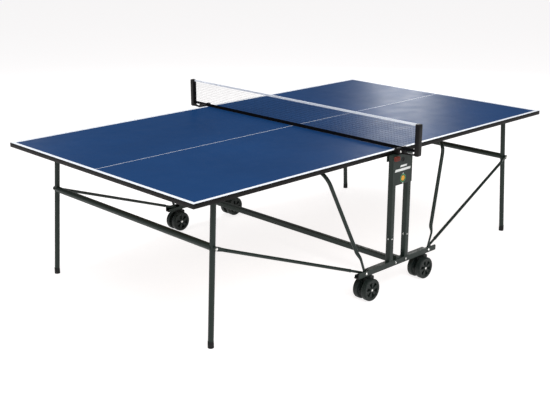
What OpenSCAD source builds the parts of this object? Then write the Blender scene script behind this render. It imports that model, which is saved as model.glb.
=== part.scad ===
// Folding table-tennis table on a wheeled centre carriage.
// Origin: on the floor under the centre of the net. +X runs along the table, +Z is up.
// "near" is the -Y side, "far" the +Y side; "left" is the -X half, "right" the +X half.
// Each half hangs on two slider blocks in the columns, and folds up with its own strut frame.

/* [Playing surface] */
// Length over both halves
table_length = 2740; // [2700:10:2760]
// Width over the edge rails
table_width = 1525; // [1515:5:1535]
// Height of the playing surface above the floor
table_height = 760; // [755:1:765]
// Thickness of each board
board_thickness = 19; // [16:1:22]
// Gap between the halves at the net
half_gap = 5; // [4:1:8]
// Wall of the steel edge rail
rail_wall = 2; // [1.5:0.5:3]
// Width of the rail's flange under the board
rail_flange = 25; // [20:1:30]
// Height of the edge rail
rail_height = 23; // [22:1:28]

/* [Carriage] */
// Side of the square base and column tubes
tube_side = 30; // [28:1:32]
// Wall of the square tubes
tube_wall = 2; // [1.5:0.5:2.5]
// Height of the base bars' centre line
bar_height = 148; // [145:1:152]
// Half length of a base bar without its end caps
bar_half = 320; // [312:1:340]
// Distance from the centre to each column tube
column_x = 63; // [60:1:70]
// Distance from the centre line to the column and base bar centres
carriage_y = 781; // [780:1:784]
// Top of the column tubes
column_top = 736; // [734:1:738]
// Bottom edge of the column plates
plate_bottom = 580; // [540:5:620]

/* [Folding linkage] */
// Height of the slider blocks' pivots with the half down
slider_height = 718; // [716:1:720]
// Distance that the slider blocks drop when a half folds
slider_travel = 411.8; // [411.6:0.1:412]
// Strut foot, distance from the centre
strut_foot_x = 262; // [260:1:264]
// Strut crossbar under the half, distance from the centre
strut_top_x = 490; // [488:1:492]
// Strut crossbar height
strut_top_z = 725; // [723:1:725]
// Distance of the strut's corner from the centre line
strut_top_y = 702; // [690:1:710]
// Outer radius of the strut tube
strut_r = 10; // [9.5:0.5:11]
// Bend radius of the strut frame's corners
strut_bend = 100; // [60:5:120]

/* [Legs] */
// Leg pivot, distance from the centre
leg_top_x = 1158; // [1150:1:1165]
// Leg pivot, distance from the centre line
leg_top_y = 644; // [640:1:650]
// Foot, distance from the centre
leg_foot_x = 1204; // [1190:1:1210]
// Foot, distance from the centre line
leg_foot_y = 658; // [650:1:665]
// Height of the leg pivots
leg_pivot_z = 719; // [717:1:720]
// Outer radius of a leg
leg_r = 14; // [12:0.5:15]
// Height of the crossbar between two legs
crossbar_z = 486; // [480:1:490]
// Outer radius of the crossbar
crossbar_r = 16.5; // [14:0.5:17]

/* [Braces] */
// Brace pivot on the leg, distance from the centre line
brace_top_y = 671; // [670:1:673]
// Brace foot, distance from the centre line
brace_foot_y = 776; // [775.5:0.5:776]
// Outer radius of the brace tube
brace_tube_r = 8.5; // [8.5:0.1:8.7]
// Radius of the brace rod that slides in the tube
brace_rod_r = 6.9; // [6.5:0.05:6.9]
// Length of the brace tube
brace_tube_length = 880; // [600:10:890]

/* [Casters] */
// Radius of a wheel
wheel_r = 60; // [54:1:61]
// Thickness of a wheel
wheel_thickness = 30; // [28:1:32]
// Gap between the two wheels of a caster
wheel_gap = 25; // [24:1:27]
// Distance from the centre to each caster's swivel axis
caster_x = 226; // [222:1:228]
// Distance from the swivel axis back to the axle
caster_trail = 18; // [16:1:22]

/* [Net] */
// Height of the net's top edge above the playing surface
net_height = 152.5; // [150:0.5:155]
// Overhang of the net posts past the table's edge, to their outer face
net_overhang = 142.5; // [140:0.5:152.5]
// Side of a net post
post_side = 28; // [24:1:30]

/* [Hidden] */
$fn = 48;

frame_green = [0.17, 0.22, 0.20];
black = [0.07, 0.07, 0.07];
zinc = [0.75, 0.75, 0.73];

fit = 0.08;                      // radial clearance of a running fit
half_length = table_length / 2;
half_width = table_width / 2;
underside = table_height - board_thickness;
rail_bottom = table_height - rail_height;
tube_half = tube_side / 2;
bar_top = bar_height + tube_half;
bar_bottom = bar_height - tube_half;
inner_face = carriage_y - tube_half;     // column and bar faces towards the table
outer_face = carriage_y + tube_half;

// slider block and the pin that the half hangs on
slider_side = 25.3;
slider_half_z = 14;
pin_r = 5;
slot_width = 12;
stop_r = 3;
bar_screw_x = [22, -62];         // on the far bar; the near bar is the same one turned round
stop_z = slider_height - slider_travel - slider_half_z - stop_r - 0.3;

// strut frame, drawn in its own plane: X is the table's Y, Y runs from the foot to the crossbar
strut_dx = strut_top_x - strut_foot_x;
strut_dz = strut_top_z - bar_height;
strut_length = sqrt(strut_dx * strut_dx + strut_dz * strut_dz);
strut_tilt = atan2(strut_dx, strut_dz);
strut_foot_y = carriage_y + 3;   // shares its bolt with the brace's foot
strut_side = norm([strut_foot_y - strut_top_y, strut_length]);
bend_swell = 0.4;
strut_lean = atan2(strut_foot_y - strut_top_y, strut_length);
strut_tangent = strut_bend * tan((90 - strut_lean) / 2);
strut_bend_y = strut_top_y - strut_tangent;
foot_plate = 8;                  // thickness of the flattened strut foot
foot_plate_length = 96;          // the tube is pressed flat this far up
foot_eye_r = 8;

// legs
leg_wall = 1.5;
foot_cap_r = 16.5;
foot_cap_height = 34;
leg_run = leg_foot_x - leg_top_x;
leg_spread = leg_foot_y - leg_top_y;
function leg_x(z) = leg_foot_x - leg_run * z / leg_pivot_z;
function leg_y(z) = leg_foot_y - leg_spread * z / leg_pivot_z;
leg_pin_r = 4;

// braces
brace_pin_r = 4;
brace_top = [leg_x(crossbar_z), brace_top_y, crossbar_z];
brace_foot = [strut_foot_x, brace_foot_y, bar_height];
brace_vector = brace_foot - brace_top;
brace_length = norm(brace_vector);
brace_overlap = 200;             // rod inside the tube with the half down
brace_eye = 10;                  // thickness of the brace's lug on the leg
brace_flat = 7;                  // thickness of its flattened foot
function along_brace(distance) = brace_top + brace_vector * (distance / brace_length);

// casters
axle_r = 5;
stem_r = 6;
fork_thickness = wheel_gap - 3;

// net
post_outer = half_width + net_overhang;
post_inner = post_outer - post_side;
clamp_top = 774;
arm_bottom = 744;
tape_height = 12;
band_height = 16;
net_top = table_height + net_height;
band_bottom = table_height + 1.5;

// ---- helpers -------------------------------------------------------------

// A rod from point a to point b
module rod(a, b, r) {
    d = b - a;
    translate(a)
        rotate([0, acos(d.z / norm(d)), atan2(d.y, d.x)])
            cylinder(h = norm(d), r = r);
}

// A cylinder along +Y from y0 to y1
module y_rod(x, z, y0, y1, r) {
    translate([x, y0, z])
        rotate([-90, 0, 0])
            cylinder(h = y1 - y0, r = r);
}

// A box from its lowest corner to its highest
module block(low, high) {
    translate(low)
        cube(high - low);
}

// Puts a shape drawn for the right far corner at another corner
module corner(sx, sy) {
    mirror([sx < 0 ? 1 : 0, 0, 0])
        mirror([0, sy < 0 ? 1 : 0, 0])
            children();
}

module both_sides() {
    for (sy = [-1, 1])
        corner(1, sy)
            children();
}

// ---- carriage ------------------------------------------------------------

module base_bar() {
    color(frame_green)
    difference() {
        block([-bar_half, inner_face, bar_bottom], [bar_half, outer_face, bar_top]);
        block([-bar_half - 1, inner_face + tube_wall, bar_bottom + tube_wall],
              [bar_half + 1, outer_face - tube_wall, bar_top - tube_wall]);
        for (sx = [-1, 1]) {
            // open at the end, where the flat feet of the strut and the brace drop in side by side
            corner(sx, 1)
                block([240, inner_face - 1, bar_height + 3], [bar_half + 1, carriage_y + 10.5, bar_top + 1]);
            // swivel bore of the caster
            translate([sx * caster_x, carriage_y, bar_bottom - 1])
                cylinder(h = 2 + tube_wall, r = stem_r + fit);
            y_rod(sx * strut_foot_x, bar_height, outer_face - 3, outer_face + 1, brace_pin_r);
            y_rod(sx > 0 ? bar_screw_x[0] : bar_screw_x[1], bar_height, outer_face - 3, outer_face + 1, stop_r);
        }
    }
}

module base_bar_near() { corner(-1, -1) base_bar(); }
module base_bar_far() { base_bar(); }

module bar_end_caps() {
    color(black)
    for (sx = [-1, 1], sy = [-1, 1])
        corner(sx, sy) {
            // low where the feet pass over it, full height beside the slot
            block([bar_half, inner_face, bar_bottom - 0.5], [bar_half + 5, outer_face + 0.5, bar_height - 7]);
            block([bar_half, carriage_y + 11, bar_height - 8], [bar_half + 5, outer_face + 0.5, bar_top - 2.5]);
            block([bar_half - 6, inner_face + tube_wall, bar_bottom + tube_wall],
                  [bar_half + 0.5, outer_face - tube_wall, bar_height - 8]);
        }
}

module cross_beam() {
    saddle_height = 14;
    color(frame_green) {
        difference() {
            block([-tube_half, -inner_face, bar_bottom], [tube_half, inner_face, bar_top]);
            block([-tube_half + tube_wall, -inner_face - 1, bar_bottom + tube_wall],
                  [tube_half - tube_wall, inner_face + 1, bar_top - tube_wall]);
        }
        both_sides()
            translate([0, outer_face - 4, bar_top])
                rotate([90, 0, 0])
                    linear_extrude(48)
                        polygon([[-22, 0], [22, 0], [20, 4], [14, saddle_height], [-14, saddle_height], [-20, 4]]);
    }
}

module guide_tube() {
    color(frame_green)
    difference() {
        block([column_x - tube_half, inner_face, bar_top], [column_x + tube_half, outer_face, column_top]);
        block([column_x - tube_half + tube_wall, inner_face + tube_wall, bar_top - 1],
              [column_x + tube_half - tube_wall, outer_face - tube_wall, column_top + 1]);
        // slot for the pin that the half hangs on
        block([column_x - slot_width / 2, inner_face - 1, slider_height - slider_travel - 10],
              [column_x + slot_width / 2, inner_face + tube_wall + 1, slider_height + 10]);
        y_rod(column_x, stop_z, outer_face - tube_wall - 1, outer_face + 1, stop_r);
        y_rod(column_x, slider_height, outer_face - tube_wall - 1, outer_face + 1, pin_r + fit);
    }
}

module guide_tube_near_left() { corner(-1, -1) guide_tube(); }
module guide_tube_near_right() { corner(1, -1) guide_tube(); }
module guide_tube_far_left() { corner(-1, 1) guide_tube(); }
module guide_tube_far_right() { corner(1, 1) guide_tube(); }

module column_plate() {
    plate = 3;
    edge = column_x + tube_half;
    color(frame_green)
    difference() {
        union() {
            block([-edge, outer_face, plate_bottom], [edge, outer_face + plate, column_top + 4]);
            block([-edge, inner_face, column_top], [edge, outer_face + 1, column_top + 4]);
        }
        y_rod(0, 712, outer_face - 1, outer_face + plate + 1, 10);
        for (sx = [-1, 1])
            y_rod(sx * column_x, slider_height, outer_face - 1, outer_face + plate + 1, pin_r + fit);
    }
}

module column_plate_near() { corner(1, -1) column_plate(); }
module column_plate_far() { column_plate(); }

// zinc-plated screws of the base bars, slider stops and net clamps
module carriage_bolts() {
    head = 4;
    color(zinc)
    for (sy = [-1, 1], x = bar_screw_x)
        corner(sy, sy) {
            y_rod(x, bar_height, outer_face - 3, outer_face, stop_r);
            y_rod(x, bar_height, outer_face, outer_face + head, 6);
        }
    color(zinc)
    both_sides() {
        for (sx = [-1, 1]) {
            y_rod(sx * strut_foot_x, bar_height, outer_face - 3, outer_face, brace_pin_r);
            y_rod(sx * strut_foot_x, bar_height, outer_face, outer_face + head, 7);
            y_rod(sx * column_x, stop_z, inner_face + tube_wall, outer_face, stop_r);
            y_rod(sx * column_x, stop_z, outer_face, outer_face + head, 5);
        }
        y_rod(-21, 755, outer_face + 1, outer_face + 1 + head, 6);
    }
}

// red pull knob with its plunger; it locks one half's slider block
module lock_knob() {
    color([0.75, 0.1, 0.08]) {
        y_rod(column_x, slider_height, outer_face - tube_wall + 0.3, outer_face + 6, pin_r);
        translate([column_x - 25, outer_face + 4.5, slider_height - 5])
            rotate([-90, 0, 0])
                linear_extrude(13)
                    polygon([[4, 0], [36, 0], [40, -4], [40, -20], [36, -24], [4, -24], [0, -20], [0, -4]]);
    }
}

module lock_knob_near() { corner(-1, -1) lock_knob(); }
module lock_knob_far() { corner(1, 1) lock_knob(); }

// ---- net set -------------------------------------------------------------

module net_clamp() {
    half_clamp = 36;
    color(black)
    difference() {
        union() {
            block([-half_clamp, inner_face - 2, column_top + 4], [half_clamp, outer_face + 1, clamp_top - 8]);
            translate([half_clamp - 6, 0, 0])
                rotate([90, 0, -90])
                    linear_extrude(2 * half_clamp - 12)
                        polygon([for (p = [[inner_face - 2, clamp_top - 8], [outer_face + 1, clamp_top - 8],
                                           [outer_face - 5, clamp_top - 2], [outer_face - 12, clamp_top],
                                           [inner_face + 4, clamp_top], [inner_face - 2, clamp_top - 4]])
                                 [-p.x, p.y]]);
            // slim curved arm from the clamp out to the post's foot, open under the band
            translate([8, 0, 0])
                rotate([90, 0, -90])
                    linear_extrude(16)
                        polygon([for (p = [[outer_face, arm_bottom - 3], [830, arm_bottom - 2.2],
                                           [855, arm_bottom - 0.6], [post_inner, arm_bottom],
                                           [post_inner, table_height + 5], [post_inner - 5, table_height + 5],
                                           [post_inner - 12, arm_bottom + 8], [855, arm_bottom + 7.4],
                                           [830, arm_bottom + 5.8], [outer_face + 13, arm_bottom + 5],
                                           [outer_face + 6, table_height + 5], [outer_face, table_height + 5]])
                                 [-p.x, p.y]]);
        }
        // slot that takes the net and its bottom band
        block([-1.8, inner_face - 3, band_bottom - 0.3], [1.8, post_inner + 1, clamp_top + 1]);
    }
}

module net_clamp_near() { corner(1, -1) net_clamp(); }
module net_clamp_far() { net_clamp(); }

module net_post() {
    color(black)
    translate([-post_side / 2, 0, 0])
        rotate([90, 0, 90])
            linear_extrude(post_side)
                polygon([[post_inner, arm_bottom], [post_outer - 10, arm_bottom], [post_outer - 4, arm_bottom + 2],
                         [post_outer, arm_bottom + 8], [post_outer, net_top - 4], [post_outer - 4, net_top],
                         [post_inner + 2, net_top], [post_inner, net_top - 2]]);
}

module net_post_near() { corner(1, -1) net_post(); }
module net_post_far() { net_post(); }

module net() {
    color([0.12, 0.14, 0.2])
    block([-0.5, -post_inner, band_bottom + band_height], [0.5, post_inner, net_top - tape_height]);
}

module net_top_tape() {
    color("white")
    block([-1.5, -post_inner, net_top - tape_height], [1.5, post_inner, net_top]);
}

module net_bottom_band() {
    color(black)
    block([-1.5, -post_inner, band_bottom], [1.5, post_inner, band_bottom + band_height]);
}

// ---- folding half --------------------------------------------------------

module slider_blocks(sx) {
    color(black)
    for (sy = [-1, 1])
        corner(sx, sy)
            difference() {
                block([column_x - slider_side / 2, carriage_y - slider_side / 2, slider_height - slider_half_z],
                      [column_x + slider_side / 2, carriage_y + slider_side / 2, slider_height + slider_half_z]);
                y_rod(column_x, slider_height, carriage_y - 20, carriage_y + 20, pin_r + fit);
            }
}

module slider_blocks_left() { slider_blocks(-1); }
module slider_blocks_right() { slider_blocks(1); }

module board() {
    color([0.15, 0.26, 0.52])
    block([half_gap / 2 + rail_wall, -half_width + rail_wall, underside],
          [half_length - rail_wall, half_width - rail_wall, table_height]);
}

module board_left() { corner(-1, 1) board(); }
module board_right() { board(); }

// steel angle round the board's edge: a lip outside and a flange underneath
module edge_rails() {
    x0 = half_gap / 2;
    x1 = half_length;
    flange_z = underside - rail_wall;
    color([0.13, 0.11, 0.11]) {
        both_sides() {
            block([x0, half_width - rail_wall, rail_bottom], [x1, half_width, table_height]);
            block([x0, half_width - rail_flange, flange_z], [x1, half_width - rail_wall, underside]);
        }
        for (end = [[x0, x0 + rail_wall, x0 + rail_wall, x0 + rail_flange],
                    [x1 - rail_wall, x1, x1 - rail_flange, x1 - rail_wall]]) {
            block([end[0], -half_width + rail_wall, rail_bottom], [end[1], half_width - rail_wall, table_height]);
            block([end[2], -half_width + rail_flange, flange_z], [end[3], half_width - rail_flange, underside]);
        }
    }
}

module edge_rails_left() { corner(-1, 1) edge_rails(); }
module edge_rails_right() { edge_rails(); }

// bent plates under the side rails with the pins that run in the slider blocks
module pivot_brackets() {
    plate_z = underside - rail_wall;
    color(frame_green)
    both_sides() {
        block([column_x - 14, 752, slider_height - 15], [column_x + 14, 757, plate_z]);
        block([column_x - 30, 712, plate_z - 3], [column_x + 30, 754, plate_z]);
        y_rod(column_x, slider_height, 754, carriage_y + 11, pin_r);
    }
}

module pivot_brackets_left() { corner(-1, 1) pivot_brackets(); }
module pivot_brackets_right() { pivot_brackets(); }

// clevises for the legs and clips for the strut frame
module underside_brackets() {
    clip_y = 420;
    plate = 3;
    ear_gap = leg_r + 2;
    color(frame_green)
    both_sides() {
        // leg clevis with its pin
        block([leg_top_x - 32, leg_top_y - 34, underside - plate], [leg_top_x + 32, leg_top_y + 34, underside]);
        for (dy = [-ear_gap - plate, ear_gap])
            block([leg_top_x - 14, leg_top_y + dy, leg_pivot_z - 12],
                  [leg_top_x + 14, leg_top_y + dy + plate, underside - 1]);
        y_rod(leg_top_x, leg_pivot_z, leg_top_y - ear_gap - 6, leg_top_y + ear_gap + 6, leg_pin_r);
        // strut clip
        difference() {
            union() {
                block([strut_top_x - 30, clip_y - 10, underside - plate], [strut_top_x + 30, clip_y + 10, underside]);
                y_rod(strut_top_x, strut_top_z, clip_y - 10, clip_y + 10, strut_r + 3);
                block([strut_top_x - strut_r - 3, clip_y - 10, strut_top_z],
                      [strut_top_x + strut_r + 3, clip_y + 10, underside - 1]);
            }
            y_rod(strut_top_x, strut_top_z, clip_y - 11, clip_y + 11, strut_r + fit);
        }
    }
}

module underside_brackets_left() { corner(-1, 1) underside_brackets(); }
module underside_brackets_right() { underside_brackets(); }

// the strut's tube path in its own plane; the bends swell slightly and take in the straight ends
module strut_path() {
    lean_dir = [strut_foot_y - strut_top_y, -strut_length] / strut_side;
    tangent_point = [strut_top_y, strut_length] + lean_dir * (strut_tangent - 3);
    foot_point = [strut_top_y, strut_length] + lean_dir * (strut_side - foot_plate_length - 16);
    for (sy = [-1, 1])
        mirror([sy < 0 ? 1 : 0, 0, 0]) {
            rod([foot_point.x, foot_point.y, 0], [tangent_point.x, tangent_point.y, 0], strut_r);
            translate([strut_bend_y, strut_length - strut_bend, 0])
                rotate([0, 0, strut_lean])
                    rotate_extrude(angle = 90 - strut_lean)
                        translate([strut_bend, 0])
                            circle(strut_r + bend_swell);
        }
    translate([0, strut_length, 0])
        rotate([0, 90, 0])
            cylinder(h = 2 * strut_bend_y + 6, r = strut_r, center = true);
}

module strut_frame() {
    half = foot_plate / 2;
    color(frame_green)
    translate([strut_foot_x, 0, bar_height])
        rotate([0, strut_tilt, 0])
            rotate([90, 0, 90]) {
                strut_path();
                // flattened feet with their eyes
                for (sy = [-1, 1])
                    mirror([sy < 0 ? 1 : 0, 0, 0]) {
                        translate([strut_foot_y, 0, -foot_eye_r])
                            linear_extrude(2 * foot_eye_r)
                                polygon([[-half, 0], [half, 0], [half, foot_plate_length],
                                         [-half, foot_plate_length + 28], [-half - 16, foot_plate_length + 28],
                                         [-half, foot_plate_length + 4]]);
                        translate([strut_foot_y - half, 0, 0])
                            rotate([0, 90, 0])
                                cylinder(h = foot_plate, r = foot_eye_r);
                    }
            }
}

module strut_frame_left() { corner(-1, 1) strut_frame(); }
module strut_frame_right() { strut_frame(); }

// ---- legs ----------------------------------------------------------------

function leg_point(z) = [leg_x(z), leg_y(z), z];

module legs() {
    tube_start = 5;
    tube_end = leg_pivot_z + 12;
    color(frame_green)
    both_sides()
        difference() {
            rod(leg_point(tube_start), leg_point(tube_end), leg_r);
            rod(leg_point(tube_start - 2), leg_point(tube_end + 2), leg_r - leg_wall);
            y_rod(leg_top_x, leg_pivot_z, leg_top_y - 20, leg_top_y + 20, leg_pin_r + fit);
            y_rod(leg_x(crossbar_z), crossbar_z, leg_y(crossbar_z), leg_y(crossbar_z) + 20, brace_pin_r);
        }
}

module legs_left() { corner(-1, 1) legs(); }
module legs_right() { legs(); }

module leg_crossbar() {
    reach = leg_y(crossbar_z);
    color(frame_green)
    difference() {
        y_rod(leg_x(crossbar_z), crossbar_z, -reach, reach, crossbar_r);
        y_rod(leg_x(crossbar_z), crossbar_z, -reach - 1, reach + 1, crossbar_r - leg_wall);
        both_sides()
            rod(leg_point(crossbar_z - 60), leg_point(crossbar_z + 60), leg_r + 0.05);
    }
}

module leg_crossbar_left() { corner(-1, 1) leg_crossbar(); }
module leg_crossbar_right() { leg_crossbar(); }

module foot_caps() {
    color(black)
    both_sides()
        translate([leg_foot_x - 1.25, leg_foot_y - 0.4, 0])
            difference() {
                cylinder(h = foot_cap_height, r = foot_cap_r);
                translate([0, 0, 4])
                    cylinder(h = foot_cap_height, r = leg_r + 1.1);
            }
}

module foot_caps_left() { corner(-1, 1) foot_caps(); }
module foot_caps_right() { foot_caps(); }

// pins and zinc heads that hold the braces to the legs
module brace_pins() {
    x = leg_x(crossbar_z);
    eye_in = brace_top_y - brace_eye / 2;
    eye_out = brace_top_y + brace_eye / 2;
    color(zinc)
    both_sides() {
        y_rod(x, crossbar_z, leg_y(crossbar_z) + 9, eye_out + 0.5, brace_pin_r);
        y_rod(x, crossbar_z, leg_y(crossbar_z) + leg_r + 0.2, eye_in - 0.4, 7);
        y_rod(x, crossbar_z, eye_out + 0.4, eye_out + 5, 7.5);
    }
}

module brace_pins_left() { corner(-1, 1) brace_pins(); }
module brace_pins_right() { brace_pins(); }

// ---- telescopic braces ---------------------------------------------------

// a flat plate across Y, drawn along the brace from its end point
module brace_plate(at, direction, thickness) {
    translate([at.x, at.y + thickness / 2, at.z])
        rotate([90, 0, 0])
            linear_extrude(thickness)
                rotate(atan2(direction.z, direction.x))
                    children();
}

module brace_tube() {
    color(frame_green)
    difference() {
        union() {
            y_rod(brace_top.x, brace_top.z, brace_top_y - brace_eye / 2, brace_top_y + brace_eye / 2, 11);
            brace_plate(brace_top, brace_vector, brace_eye)
                polygon([[0, -11], [16, -10.8], [56, -7.5], [64, -5], [64, 5], [56, 7.5], [16, 10.8], [0, 11]]);
            rod(along_brace(42), along_brace(brace_tube_length), brace_tube_r);
        }
        y_rod(brace_top.x, brace_top.z, brace_top_y - 20, brace_top_y + 20, brace_pin_r + fit);
        rod(along_brace(76), along_brace(brace_tube_length + 5), brace_rod_r + 0.06);
    }
}

module brace_tube_near_left() { corner(-1, -1) brace_tube(); }
module brace_tube_near_right() { corner(1, -1) brace_tube(); }
module brace_tube_far_left() { corner(-1, 1) brace_tube(); }
module brace_tube_far_right() { corner(1, 1) brace_tube(); }

module brace_rod() {
    foot = brace_foot;
    color(frame_green) {
        rod(along_brace(brace_tube_length - brace_overlap), along_brace(brace_length - 34), brace_rod_r);
        brace_plate(foot, -brace_vector, brace_flat)
            polygon([[0, -7], [40, -7], [44, -4], [44, 4], [40, 7], [0, 7]]);
        y_rod(foot.x, foot.z, brace_foot_y - brace_flat / 2, brace_foot_y + brace_flat / 2, foot_eye_r);
    }
}

module brace_rod_near_left() { corner(-1, -1) brace_rod(); }
module brace_rod_near_right() { corner(1, -1) brace_rod(); }
module brace_rod_far_left() { corner(-1, 1) brace_rod(); }
module brace_rod_far_right() { corner(1, 1) brace_rod(); }

// ---- casters -------------------------------------------------------------

// every caster trails towards -X, so forks and wheels are moved, not mirrored, along X
module at_caster(sx, sy) {
    translate([sx * caster_x, sy * carriage_y, 0])
        children();
}

module caster_fork(sx, sy) {
    color(black)
    at_caster(sx, sy) {
        rotate([90, 0, 0])
            linear_extrude(fork_thickness, center = true)
                union() {
                    translate([-caster_trail, wheel_r])
                        circle(13);
                    polygon([[-caster_trail - 13, wheel_r], [-caster_trail + 13, wheel_r], [24, 98],
                             [30, 112], [30, 124], [-24, 124], [-31, 112]]);
                }
        translate([0, 0, 122])
            cylinder(h = bar_bottom - 0.5 - 122, r = 17);
        translate([0, 0, 123])
            cylinder(h = bar_height - 6 - 123, r = stem_r);
        y_rod(-caster_trail, wheel_r, -wheel_gap / 2 - wheel_thickness - 1, wheel_gap / 2 + wheel_thickness + 1, axle_r);
    }
}

module caster_fork_near_left() { caster_fork(-1, -1); }
module caster_fork_near_right() { caster_fork(1, -1); }
module caster_fork_far_left() { caster_fork(-1, 1); }
module caster_fork_far_right() { caster_fork(1, 1); }

// side: 1 is the outer wheel of the pair, -1 the inner one
module wheel(sx, sy, side) {
    half = wheel_thickness / 2;
    color(black)
    at_caster(sx, sy)
        translate([-caster_trail, sy * side * (wheel_gap + wheel_thickness) / 2, wheel_r])
            rotate([-90 * sy * side, 0, 0])
                rotate_extrude($fn = 64)
                    polygon([[axle_r + fit, -half], [16, -half], [16, -half + 4], [38, -half + 4], [42, -half],
                             [wheel_r - 5, -half], [wheel_r - 1.5, -half + 1.5], [wheel_r, -half + 5],
                             [wheel_r, half - 5], [wheel_r - 1.5, half - 1.5], [wheel_r - 5, half],
                             [42, half], [38, half - 6], [16, half - 6], [14, half - 1], [axle_r + fit, half - 1]]);
}

module wheel_near_left_outer() { wheel(-1, -1, 1); }
module wheel_near_left_inner() { wheel(-1, -1, -1); }
module wheel_near_right_outer() { wheel(1, -1, 1); }
module wheel_near_right_inner() { wheel(1, -1, -1); }
module wheel_far_left_outer() { wheel(-1, 1, 1); }
module wheel_far_left_inner() { wheel(-1, 1, -1); }
module wheel_far_right_outer() { wheel(1, 1, 1); }
module wheel_far_right_inner() { wheel(1, 1, -1); }

// ---- nodes ---------------------------------------------------------------

base_bar_near();
base_bar_far();
bar_end_caps();
cross_beam();
guide_tube_near_left();
guide_tube_near_right();
guide_tube_far_left();
guide_tube_far_right();
column_plate_near();
column_plate_far();
carriage_bolts();
lock_knob_near();
lock_knob_far();
net_clamp_near();
net_clamp_far();
net_post_near();
net_post_far();
net();
net_top_tape();
net_bottom_band();
slider_blocks_left();
slider_blocks_right();
board_left();
board_right();
edge_rails_left();
edge_rails_right();
pivot_brackets_left();
pivot_brackets_right();
underside_brackets_left();
underside_brackets_right();
strut_frame_left();
strut_frame_right();
legs_left();
legs_right();
leg_crossbar_left();
leg_crossbar_right();
foot_caps_left();
foot_caps_right();
brace_pins_left();
brace_pins_right();
brace_tube_near_left();
brace_tube_near_right();
brace_tube_far_left();
brace_tube_far_right();
brace_rod_near_left();
brace_rod_near_right();
brace_rod_far_left();
brace_rod_far_right();
caster_fork_near_left();
caster_fork_near_right();
caster_fork_far_left();
caster_fork_far_right();
wheel_near_left_outer();
wheel_near_left_inner();
wheel_near_right_outer();
wheel_near_right_inner();
wheel_far_left_outer();
wheel_far_left_inner();
wheel_far_right_outer();
wheel_far_right_inner();
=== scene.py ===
from math import atan2, cos, hypot, pi, radians, sin, sqrt, tan

import bmesh
import bpy
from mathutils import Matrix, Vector


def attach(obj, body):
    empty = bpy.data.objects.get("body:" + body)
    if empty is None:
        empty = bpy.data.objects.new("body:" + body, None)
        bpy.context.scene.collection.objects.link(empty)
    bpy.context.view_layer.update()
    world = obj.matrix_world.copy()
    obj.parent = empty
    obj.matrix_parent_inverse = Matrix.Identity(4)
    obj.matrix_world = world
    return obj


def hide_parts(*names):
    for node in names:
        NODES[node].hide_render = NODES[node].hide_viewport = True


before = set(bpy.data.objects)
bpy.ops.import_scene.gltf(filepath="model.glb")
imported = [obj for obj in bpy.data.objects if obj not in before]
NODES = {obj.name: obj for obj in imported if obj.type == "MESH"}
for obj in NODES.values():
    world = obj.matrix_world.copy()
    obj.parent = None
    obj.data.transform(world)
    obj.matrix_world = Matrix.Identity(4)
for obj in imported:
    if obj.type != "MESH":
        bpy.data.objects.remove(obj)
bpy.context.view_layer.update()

scene = bpy.context.scene
SIDES = (("left", -1), ("right", 1))
ENDS = (("near", -1), ("far", 1))


# ---- materials -----------------------------------------------------------------

class Mat:
    """A Principled material with object-space textures. Texture scales are per metre."""

    def __init__(self, name, rough=0.5, metal=0.0, spec=0.5):
        self.m = bpy.data.materials.new(name)
        self.m.use_nodes = True
        self.t = self.m.node_tree
        self.b = self.t.nodes["Principled BSDF"]
        self.b.inputs["Roughness"].default_value = rough
        self.b.inputs["Metallic"].default_value = metal
        self.b.inputs["Specular IOR Level"].default_value = spec
        self.coord = self.t.nodes.new("ShaderNodeTexCoord").outputs["Object"]

    def node(self, kind, values=None, **settings):
        n = self.t.nodes.new(kind)
        for k, v in settings.items():
            setattr(n, k, v)
        for k, v in (values or {}).items():
            if isinstance(v, bpy.types.NodeSocket):
                self.t.links.new(v, n.inputs[k])
            else:
                n.inputs[k].default_value = v
        return n

    def vector(self, scale):
        return self.node("ShaderNodeMapping", {"Vector": self.coord, "Scale": scale}).outputs[0]

    def noise(self, scale, detail=2.0, rough=0.5, stretch=None):
        v = self.vector(stretch) if stretch else self.coord
        return self.node("ShaderNodeTexNoise",
                         {"Vector": v, "Scale": scale, "Detail": detail,
                          "Roughness": rough}).outputs["Fac"]

    def span(self, value, low, high, to_low, to_high):
        return self.node("ShaderNodeMapRange", {"Value": value, "From Min": low, "From Max": high,
                                                "To Min": to_low, "To Max": to_high}).outputs[0]

    def math(self, operation, a, b=0.0):
        return self.node("ShaderNodeMath", {0: a, 1: b}, operation=operation).outputs[0]

    def ramp(self, value, stops):
        n = self.node("ShaderNodeValToRGB", {"Fac": value})
        r = n.color_ramp
        while len(r.elements) < len(stops):
            r.elements.new(0.5)
        for e, (at, colour) in zip(r.elements, stops):
            e.position = at
            e.color = (*colour, 1.0)
        return n.outputs["Color"]

    def mix(self, factor, a, b):
        n = self.t.nodes.new("ShaderNodeMix")
        n.data_type = "RGBA"
        for socket, v in ((n.inputs[0], factor), (n.inputs[6], a), (n.inputs[7], b)):
            if isinstance(v, bpy.types.NodeSocket):
                self.t.links.new(v, socket)
            else:
                socket.default_value = v if isinstance(v, float) else (*v, 1.0)
        return n.outputs[2]

    def set(self, socket, value):
        self.t.links.new(value, self.b.inputs[socket])

    def bump(self, height, distance, strength):
        n = self.node("ShaderNodeBump", {"Height": height, "Distance": distance, "Strength": strength})
        self.set("Normal", n.outputs[0])

    def edges(self, radius):
        """1 on worn edges, 0 on flats: how far a rounded normal leaves the true one."""
        soft = self.node("ShaderNodeBevel", {"Radius": radius}, samples=4).outputs[0]
        true = self.node("ShaderNodeNewGeometry").outputs["Normal"]
        dot = self.node("ShaderNodeVectorMath", {0: soft, 1: true},
                        operation="DOT_PRODUCT").outputs["Value"]
        return self.span(dot, 0.995, 0.86, 0.0, 1.0)


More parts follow.
